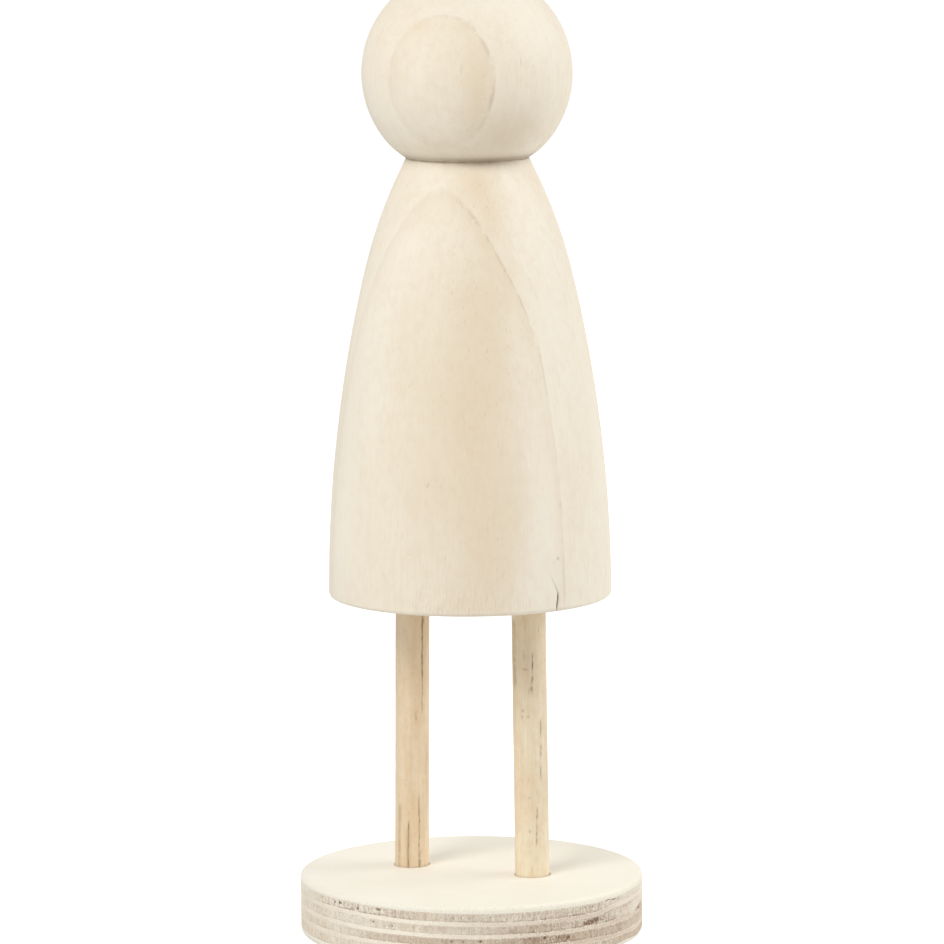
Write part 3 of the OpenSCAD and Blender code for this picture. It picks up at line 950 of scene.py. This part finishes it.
def edge_marks(angle, z):
    """Depth in mm and darkness of the listed marks, and where small pores gather round them."""
    depth, dark, gathered = 0, 0, 0
    shown = (z + waver(angle, z)) / MM
    ragged = np.maximum(1 + 0.5 * drift(7, 700, 9, angle / (2 * math.pi), shown / FRAY_HEIGHT), 0.3)
    for middle, height, half, tall, tone in EDGE_MARKS:
        across, above = arc_mm(turn_from(middle, np.degrees(angle)), BOARD_R), shown - height
        mark = tone * np.exp(-(((across / half) ** 2 + (above / tall) ** 2) * ragged) ** 1.4)
        deep = 1 if tone > 1 else min(DEEPEST_PIT, 0.3 * half + 0.05)
        depth, dark = np.maximum(depth, mark * deep), np.maximum(dark, mark)
        gathered = np.maximum(gathered, tone * spot(across, above, half + 1, tall + 0.4))
    return depth, dark, gathered


sample_marks = edge_marks(np.radians([range(-30, 31)]), np.array([[11 * MM]]))
print(f"the deepest mark across the front, 11 mm up, is {sample_marks[0].max():.2f} mm deep")


# %% The rough edge of a crossband
def laid_flat(angle, z, low, high):
    """The edge as a strip: u round the board and v up the ply, both from 0 to 1."""
    return np.broadcast_arrays(angle / (2 * math.pi), (z - low) / (high - low))


def rough_edge(node, seed, angle, z, low, high):
    """Relief and tags of a crossband's sawn edge, from the listed marks and soft noise."""
    u, v = laid_flat(angle, z, low, high)
    saw = drift(seed, 420, 1, u, v * 0)
    fibre = drift(seed + 1, 640, 7, u, v)
    patch = drift(seed + 2, 34, 1, u, v)
    crowd = round_edge(angle, CROWD if node == "cross_ply_1" else CALMER)
    crowd = np.clip(crowd * (1 + 0.4 * drift(seed + 4, 22, 2, u, v)), 0, 1)
    pits = np.clip(drift(seed + 3, 640, 9, u, v) - 0.8 + 0.15 * crowd, 0, 1) * 2.4 * crowd
    placed_depth, placed_dark, gathered = edge_marks(angle, z)
    depth = 0.03 + 0.022 * saw + 0.025 * fibre + 0.2 * pits + placed_depth
    tone = round_edge(angle, TONES[node]) + 0.08 * patch + (0.1 * saw + 0.08 * fibre) * (0.3 + crowd)
    dark = np.clip(pits + placed_dark, 0, 1)
    return depth, {"tone": tone, "pore": dark, "level": v, "crowd": np.maximum(crowd, gathered)}


print(f"tone of the upper crossband at the front: {round_edge(0, TONES['cross_ply_1']):.2f}")


# %% The smoother edges of the other plies
def calm_relief(seed, angle, z, u, v):
    """Depth and darkness of a smoothly cut edge, its two noises, and where small pores gather."""
    fibre, patch = drift(seed, 150, 3, u, v), drift(seed + 1, 40, 1, u, v * 0)
    placed_depth, placed_dark, gathered = edge_marks(angle, z)
    depth = 0.02 + 0.014 * fibre + 0.012 * patch + 0.6 * placed_depth
    return depth, 0.8 * placed_dark, fibre, patch, gathered


def calm_edge(node, seed, angle, z, low, high):
    """Relief and tags of a thin pale ply's edge, cut along its fibres and nearly smooth."""
    u, v = laid_flat(angle, z, low, high)
    depth, dark, fibre, patch, gathered = calm_relief(seed, angle, z, u, v)
    tone = round_edge(angle, TONES[node]) + 0.1 * patch + 0.1 * fibre
    crowd = np.maximum(round_edge(angle, CALMER) ** 2, gathered)
    return depth, {"tone": tone, "pore": dark, "level": v, "crowd": crowd}


def face_edge(node, seed, angle, z, low, high):
    """Relief and tags of a face veneer's rim: sanded, with a few fibres broken out."""
    depth, dark, *_ = calm_relief(seed, angle, z, *laid_flat(angle, z, low, high))
    from_face = high - z if high > BOARD_T / 2 else z - low
    rim = np.clip(1.3 - abs(from_face / MM - 0.55), 0, 1) * (from_face < RIM_R + 0.6 * MM)
    return depth * 0.5, {"pore": dark, "rim": rim}


print(f"tone of the upper pale ply at the front: {round_edge(0, TONES['long_ply_1']):.2f}")

# %% [markdown]
# ## From an edge to a whole veneer
# A ply is its edge and two faces. The leg's holes stop inside the board, so a ply has them right
# through, blind or not at all, and its faces are made to suit. The two face veneers have their
# outer rims sanded round, which is a quarter turn that carries the edge's line inwards.

# %% One ply
RIM_STEPS = 8


def face_sheets(rim, back, drilled, z):
    """A flat face of a ply: with two holes, or plain and closed at its middle."""
    if drilled:
        return flat_face(rim, back, LEG_R + BOARD_FIT, z)
    middle = np.broadcast_to([0, 0, z], rim.shape)
    return [(fan(middle, rim, PLAIN_STEPS, SETTLE), True, {})], []


def edge_line(low, high, rows, rounded):
    """Heights up the edge, and how far in it lies: the rim's radius times 1 - cos of its turn."""
    if not rounded:
        return np.linspace(low, high, rows), np.zeros(rows)
    turn = np.linspace(0, math.pi / 2, RIM_STEPS + 1)[1:]
    z = np.concatenate([np.linspace(low, high - RIM_R, rows), high - RIM_R + RIM_R * np.sin(turn)])
    inset = np.concatenate([np.zeros(rows), RIM_R * (1 - np.cos(turn))])
    return (z, inset) if rounded == "top" else ((low + high - z)[::-1], inset[::-1])


def ply(node, seed, columns, edge, rows, rounded):
    """A veneer of the board: its edge, both faces, and the walls of its holes.

    `rounded` is "top" or "bottom" for a sanded rim, or None.
    """
    low, high = (corner.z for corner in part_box(node))
    z, inset = edge_line(low, high, rows, rounded)
    angle = np.linspace(0, 2 * math.pi, columns + 1)[:-1][None, :]
    depth, tags = edge(node, seed, angle, z[:, None], low, high)
    reach = BOARD_R - inset[:, None] - np.maximum(depth, 0) * MM
    height = z[:, None] + waver(angle, z[:, None])
    wall = np.stack([reach * np.sin(angle), -reach * np.cos(angle), height], -1)
    floor_z = BOARD_T - BOARD_HOLE
    through, blind = low > floor_z, low < floor_z < high
    sheets = [(wall, True, tags)]
    top, mouths = face_sheets(wall[-1], columns // 2, through or blind, high)
    bottom, low_mouths = face_sheets(wall[0], columns // 2, through, low)
    sheets += top + bottom
    for (side, mouth), (_, far) in zip(mouths, low_mouths or mouths):
        sheets += hole_wall(mouth, far) if through else blind_hole(side, mouth, floor_z)
    return wooden("board_" + node, sheets)


print("a sanded rim goes round in", RIM_STEPS, "steps")

# %% The board's nine plies
# (node, seed, columns, what cuts its edge, rows, sanded rim)
PLIES = [("face_veneer_top", 500, 900, face_edge, 4, "top"),
         ("face_veneer_bottom", 980, 900, face_edge, 4, "bottom")]
PLIES += [(f"cross_ply_{i}", 500 + 60 * i, 1200, rough_edge, 15, None) for i in (1, 2, 3, 4)]
PLIES += [(f"long_ply_{i}", 530 + 60 * i, 900, calm_edge, 7, None) for i in (1, 2, 3)]
board = {node: ply(node, *settings) for node, *settings in PLIES}

# %% [markdown]
# ## Growth rings through the turned piece
# The blank is laid out as cut 13 cm from the heart of the tree, so its rings are nearly flat
# sheets that stand upright and face the doll's front. The lathe cuts through them, and each shows
# as an oval on the ball of the head and as a tall arch on the body. Every point gets the number
# that a ring is a constant of: how far out from the heart it lies. It is stored as a tag, in
# millimetres, and the finish draws rings from it.

# %% Ring number of each point
HEART_REACH = 132.0
# Direction of the heart from the doll's axis at heights above the hem, in degrees from the front
HEART_TURN = [(0, 4), (60, 4), (80, 2.5), (91, 1.5), (95, 1), (102, 3), (108, 6.5), (150, 6.5)]
# Reach of the main ring from the doll's axis at heights above the hem, in millimetres
RING_REACH = [(-1, 13), (20, 13.1), (40, 13.3), (50, 13.4), (60, 13.9), (66, 14.5), (72, 15.5),
              (79, 16.8), (84, 17.5), (88, 17.7), (93, 17.5), (98, 16.9), (102, 17.4), (108, 19.3),
              (115, 19.9), (119, 20.2), (124, 20.35), (131, 20.1), (135, 19.7), (147, 19.3)]
# How plainly that ring's edge shows at heights above the hem
RING_SHOWS = [(0, 0.1), (28, 0.15), (45, 0.35), (58, 0.8), (70, 1), (91, 1), (94, 0.35), (98, 0.3),
              (106, 0.25), (113, 0.5), (116, 1), (130, 1), (136, 0.6)]
# Places along the main ring's line, and how many on either side go into its easing
LINE_PLACES, EASE_PLACES = 600, 20


def store_rings(piece):
    """Tags points with how far they lie beyond the main ring, towards the heart, in millimetres.

    A second tag says how sharp its edge is there: sharper on the doll's left, and as listed.
    """
    count = len(piece.data.vertices)
    place = np.zeros(count * 3, np.float32)
    piece.data.vertices.foreach_get("co", place)
    x, y, z = (place.reshape(-1, 3).astype(float) / MM).T
    x, y, h = x - AXIS_X / MM, y - AXIS_Y / MM, z - HEM_Z / MM
    turn = np.radians(np.interp(h, *np.array(HEART_TURN, float).T))
    reach = HEART_REACH - np.hypot(x - HEART_REACH * np.sin(turn), y + HEART_REACH * np.cos(turn))
    side = x * np.cos(turn) + y * np.sin(turn)
    crisp = (0.22 + 0.78 / (1 + np.exp(-side / 3))) * np.interp(h, *np.array(RING_SHOWS, float).T)
    heights, main = np.array(RING_REACH).T
    fine = np.linspace(heights[0], heights[-1], LINE_PLACES)
    kernel = bump(np.linspace(-2, 2, 2 * EASE_PLACES + 1), 0, 1)
    padded = np.pad(np.interp(fine, heights, main), EASE_PLACES, mode="edge")
    eased = np.convolve(padded, kernel / kernel.sum(), "valid")
    ring = reach - np.interp(h, fine, eased)
    for name, value in (("ring", ring), ("crisp", crisp)):
        stored = piece.data.attributes.new(name, "FLOAT", "POINT")
        stored.data.foreach_set("value", value.astype(np.float32))
    return ring


ring = store_rings(turned_body)
print(f"rings from {ring.min():.0f} to {ring.max():.0f} mm beyond the main one")

# %% [markdown]
# ## Turned wood
# The blank is a pale, close-grained hardwood. Towards each ring's edge it darkens to a faint tan,
# then a thin brown line, and the next ring starts almost white. Fibres run up and down, so their
# noise is stretched in height. Short flecks lie along them. Broad soft patches keep it from
# looking printed. Bare sanded wood is dull, so it is rough and has no coat.

# %% Turned wood finish
# Places of ring edges in mm beyond the main one, and how strong each is
RINGS = [(-50, 0.8), (-43, 0.6), (-36, 0.5), (-29, 0.4), (-21.5, 0.22), (-14, 0.15), (-8.6, 0.08),
         (-4, 0.18), (0, 1), (7.6, 0.1)]
# First and last place on the ramp, how far the tan fades beyond an edge, and to what
RAMP_LOW, RAMP_HIGH = -60, 20
TAN_REACH, TAN_REST = 3.2, 0.12


def ring_stops():
    """Ramp stops for the tan, which starts sharply at each ring's edge and fades beyond it."""
    stops, span = [], RAMP_HIGH - RAMP_LOW
    for place, strength in RINGS:
        at = (place - RAMP_LOW) / span
        stops += [(at - 0.002, 0.0), (at + 0.002, strength), (at + TAN_REACH / span, TAN_REST)]
    return stops


def turned_wood():
    """Rings, broad patches, fibres, flecks and the tagged marks, among them painted shade and light, over
    a cream.
    """
    tree = Tree(bpy.data.materials.new("turned_wood"))
    ring_at = tree.tag("ring") + (tree.grain((1, 1, 0.3), 0.1, 1) - 0.5) * 1.2
    ring_at = ring_at + (tree.grain((1, 1, 0.5), 0.7, 2) - 0.5) * 0.22
    tan_inside = tree.node("ValToRGB", {"stops": ring_stops()},
                           {0: ring_at.within(RAMP_LOW, RAMP_HIGH, "LINEAR")})
    line, pale_line = 0, 0
    for place, strength in RINGS:
        beyond = ring_at - place
        line = abs(beyond).within(0.42, 0) * strength + line
        pale_line = beyond.within(-2.6, -0.3) * beyond.within(0.5, -0.3) * strength + pale_line
    broken = tree.grain((1, 1, 0.5), 0.4, 2).within(0.3, 0.6) * tree.tag("crisp")
    chip = tree.grain((1, 1, 0.6), 1.4, 2).within(0.62, 0.7) * abs(ring_at - 0.4).within(0.9, 0.3)
    patches = tree.grain((1, 1, 0.5), 0.045, 3, 0.55)
    warm = tree.grain((1, 1, 0.3), 0.07, 2, turn=0.7).within(0.35, 0.66)
    fibre = tree.grain((1, 1, 0.035), 1.5, 4, 0.62)
    hair = tree.grain((1, 1, 0.05), 6, 2, 0.6)
    mottle = tree.grain((1, 1, 0.7), 0.5, 3, 0.6)
    # the wood's tan, with painted shade and painted light where the tag says
    tan = tree.tag("tan")
    zone = tree.grain((1, 1, 0.5), 0.09, 2).within(0.4, 0.62)
    fleck = tree.grain((1, 1, 0.45), 1.5, 2).within(0.62, 0.74) * (zone * 0.4 + tan * 0.5)
    glint = tree.grain((1, 1, 0.5), 1.7, 2).within(0.64, 0.76) * (zone * 0.3 + tan * 0.4)
    colour = tree.blend(patches.within(0.32, 0.68), shade(247, 239, 221), shade(244, 235, 215))
    colour = tree.coats(
        colour,
        (warm * 0.4, 243, 228, 206),
        (fibre.within(0.3, 0.72) * 0.16, 226, 209, 183),
        (hair.within(0.45, 0.75) * 0.1, 208, 188, 160),
        (mottle.within(0.4, 0.68) * 0.17, 226, 207, 178),
        (hair.within(0.5, 0.66) * tree.tag("hairs") * 0.35, 196, 168, 130),
        # tan, and painted shade
        (tan * 0.42, 223, 197, 158),
        # paler wood, and painted light along the edges
        (tan * -0.35, 253, 247, 233),
        (tan_inside * 0.22, 224, 203, 172),
        (pale_line * tree.tag("crisp") * 0.15, 251, 246, 234),
        (line * broken * 0.3, 176, 146, 102),
        (chip * tree.tag("crisp") * 0.35, 252, 246, 232),
        (fleck * 0.36, 198, 170, 130),
        (glint * 0.4, 247, 236, 214),
        # painted shade in and around the neck's crease, under the chin and on the head's lower right
        (tree.tag("seam") * 0.8, 122, 98, 66),
        (tree.tag("stain"), 104, 88, 72))
    relief = fibre * 0.5 + hair * 0.35 - fleck * 0.5 - line * 0.15
    return tree.bare_wood(colour, 0.58 + hair * 0.16, relief, 0.35, 0.03)


body_wood = turned_wood()

# %% [markdown]
# ## Dowel wood
# The legs are a warmer, coarser wood. Its fibres run the length of the dowel, so noise is
# stretched even more. Fine open pores show as short dark dashes beside the grooves that are
# already cut into the mesh, whose tag colours them brown. The two dowels differ a little in tone,
# and an offset in millimetres takes each one's noise from another place.


# %% Dowel wood finish
def dowel_wood(name, offset, pale, deep):
    """Clouds of two tones under streaks, blotches, threads, pores and the tagged grooves."""
    tree = Tree(bpy.data.materials.new(name))
    away = (offset, offset * 0.7, offset * 1.3)
    place = tree.node("Mapping", {}, {"Vector": tree.millimetres(), "Location": away})

    def along(stretch, scale, detail, rough=0.5):
        drawn_out = tree.node("Mapping", {}, {"Vector": place, "Scale": (1, 1, stretch)})
        return tree.noise(drawn_out, scale, detail, rough)

    streak, thread = along(0.03, 1.1, 4, 0.6), along(0.03, 5, 3, 0.6)
    cloud, dash, blotch = along(0.25, 0.16, 2), along(0.14, 3.4, 2), along(0.6, 0.7, 3, 0.6)
    pore = dash.within(0.66, 0.76) * cloud.within(0.38, 0.6)
    colour = tree.blend(cloud.within(0.32, 0.68), shade(*pale), shade(*deep))
    colour = tree.coats(
        colour,
        (streak.within(0.32, 0.72) * 0.26, 218, 190, 152),
        (blotch.within(0.42, 0.64) * 0.24, 224, 188, 150),
        (thread.within(0.42, 0.75) * 0.14, 196, 166, 126),
        (pore * 0.45, 150, 118, 82),
        (tree.tag("groove") ** 0.8, 112, 80, 46))
    relief = streak * 0.5 + thread * 0.5 - pore
    return tree.bare_wood(colour, 0.55 + thread * 0.18, relief, 0.45, 0.04)


right_wood = dowel_wood("dowel_wood_right", 0, (242, 226, 199), (233, 210, 176))
left_wood = dowel_wood("dowel_wood_left", 37, (242, 229, 201), (236, 218, 188))

# %% [markdown]
# ## Three woods of the board
# The face veneer is the palest: sanded birch-like wood with hardly a mark. The crossbands are cut
# across their fibres and scorched a little by the saw, so they are grey-brown, patchy and pitted.
# Tags from the mesh tell where a pit is, and where the edge lies near a glue line, which is thin
# and dark. The pale plies between them are cut along their fibres and stay light.


# %% Face veneer finish
def veneer_wood():
    """A cream with faint fibres along X, gritty at the sanded rim, with painted shade at a hole's mouth.
    """
    tree = Tree(bpy.data.materials.new("face_veneer"))
    fibre = tree.grain((0.05, 1, 1), 0.8, 4, 0.6)
    hair = tree.grain((0.06, 1, 1), 4, 2)
    cloud = tree.grain((1, 1, 1), 0.04, 2)
    colour = tree.blend(cloud.within(0.3, 0.7), shade(254, 250, 238), shade(252, 247, 232))
    grit = tree.grain((1, 1, 0.6), 3.4, 3, 0.6).within(0.48, 0.66)
    colour = tree.coats(
        colour,
        (fibre.within(0.35, 0.75) * 0.16, 243, 233, 209),
        (hair.within(0.5, 0.8) * 0.08, 230, 214, 186),
        (tree.tag("rim") * (grit * 0.5 + 0.05), 232, 218, 192),
        # the pore tag: marks on the rim, and painted shade at a hole's mouth round the leg
        (tree.tag("pore") * 0.5, 150, 130, 106))
    return tree.bare_wood(colour, 0.55 + hair * 0.14, fibre + hair * 0.5, 0.3, 0.02)


board_woods = {"face_veneer": veneer_wood()}


# %% Crossband finish
def crossband_wood():
    """Its tone is tagged. Specks, pale flakes, torn pores, frayed and glued edges lie over it."""
    tree = Tree(bpy.data.materials.new("crossband"))
    speck = tree.grain((1, 1, 0.55), 3.3, 3, 0.65)
    flake = tree.grain((1.3, 1.3, 0.7), 3.4, 3, 0.65)
    lump = tree.grain((1, 1, 0.7), 1.3, 3, 0.6)
    streak = tree.grain((1, 1, 0.2), 1.6, 3, 0.6)
    cloud = tree.grain((1, 1, 0.4), 0.1, 2)
    crowd, level = tree.tag("crowd"), tree.tag("level")
    tone = tree.tag("tone") + ((streak - 0.5) * 0.7 + (lump - 0.5) * 0.8) * (crowd * 0.9 + 0.25)
    colour = tree.blend(tone.within(0, 1.1, "LINEAR"), shade(254, 247, 229), shade(182, 158, 134))
    torn = (tree.tag("pore") + (speck - 0.5) * 1.5).within(0.3, 0.9)
    frayed = (level + (streak - 0.5) * 0.6 + (speck - 0.5) * 0.4).within(0.9, 1.03)
    smeared = tree.grain((1, 1, 0), 0.5, 3).within(0.34, 0.6)
    colour = tree.coats(
        colour,
        (cloud.within(0.42, 0.66) * 0.25, 226, 206, 174),
        (speck.within(0.52, 0.64) * (crowd * 0.55 + 0.06), 132, 104, 80),
        (flake.within(0.52, 0.64) * (crowd * 0.5 + 0.1), 254, 247, 235),
        (streak.within(0.5, 0.68) * crowd * 0.38, 146, 112, 86),
        (torn * 0.85, 112, 78, 48),
        (frayed * 0.8, 250, 240, 223),
        (level.within(0.2, 0.03) * smeared * crowd * 0.75, 122, 96, 72))
    return tree.bare_wood(colour, 0.72 + speck * 0.2, speck + streak * 0.5, 0.6, 0.08)


board_woods["crossband"] = crossband_wood()


# %% Pale ply finish
def long_ply_wood():
    """Its tone is tagged. Specks, frayed edges and torn pores lie over it."""
    tree = Tree(bpy.data.materials.new("long_ply"))
    streak = tree.grain((1, 1, 0.5), 1.1, 3, 0.6)
    speck = tree.grain((1, 1, 1), 2.6, 3)
    tone = tree.tag("tone") + (streak - 0.5) * 0.6
    level, crowd = tree.tag("level"), tree.tag("crowd")
    colour = tree.blend(tone.within(0.1, 1.3, "LINEAR"), shade(255, 246, 228), shade(222, 204, 184))
    frayed = (abs(level - 0.5) + (speck - 0.5) * 0.3).within(0.3, 0.5) * crowd
    torn = (tree.tag("pore") + (speck - 0.5) * 1.5).within(0.35, 0.85)
    colour = tree.coats(
        colour,
        (speck.within(0.53, 0.66) * (crowd * 0.5 + 0.1), 176, 152, 124),
        (frayed * 0.5, 196, 174, 148),
        (torn * 0.85, 110, 82, 56))
    return tree.bare_wood(colour, 0.66 + speck * 0.16, speck + streak * 0.5, 0.5, 0.05)


board_woods["long_ply"] = long_ply_wood()

# %% [markdown]
# ## Dressing the pieces
# Each piece now gets its wood, in a slot that is named for it. Nothing on the doll moves, so all
# pieces ride on its one body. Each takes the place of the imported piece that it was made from.


# %% Dress the pieces
def dress(piece, node, material):
    """Gives a piece its finish, puts it on the doll's one body and lets it stand for its node."""
    piece.data.materials.append(material)
    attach(piece, "root")
    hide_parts(node)


dress(turned_body, "head_and_body", body_wood)
dress(right_dowel, "right_leg", right_wood)
dress(left_dowel, "left_leg", left_wood)
for node, piece in board.items():
    slot = "face_veneer" if "face" in node else "crossband" if "cross" in node else "long_ply"
    dress(piece, node, board_woods[slot])
print("finishes:", ", ".join(sorted(m.name for m in bpy.data.materials if m.users)))
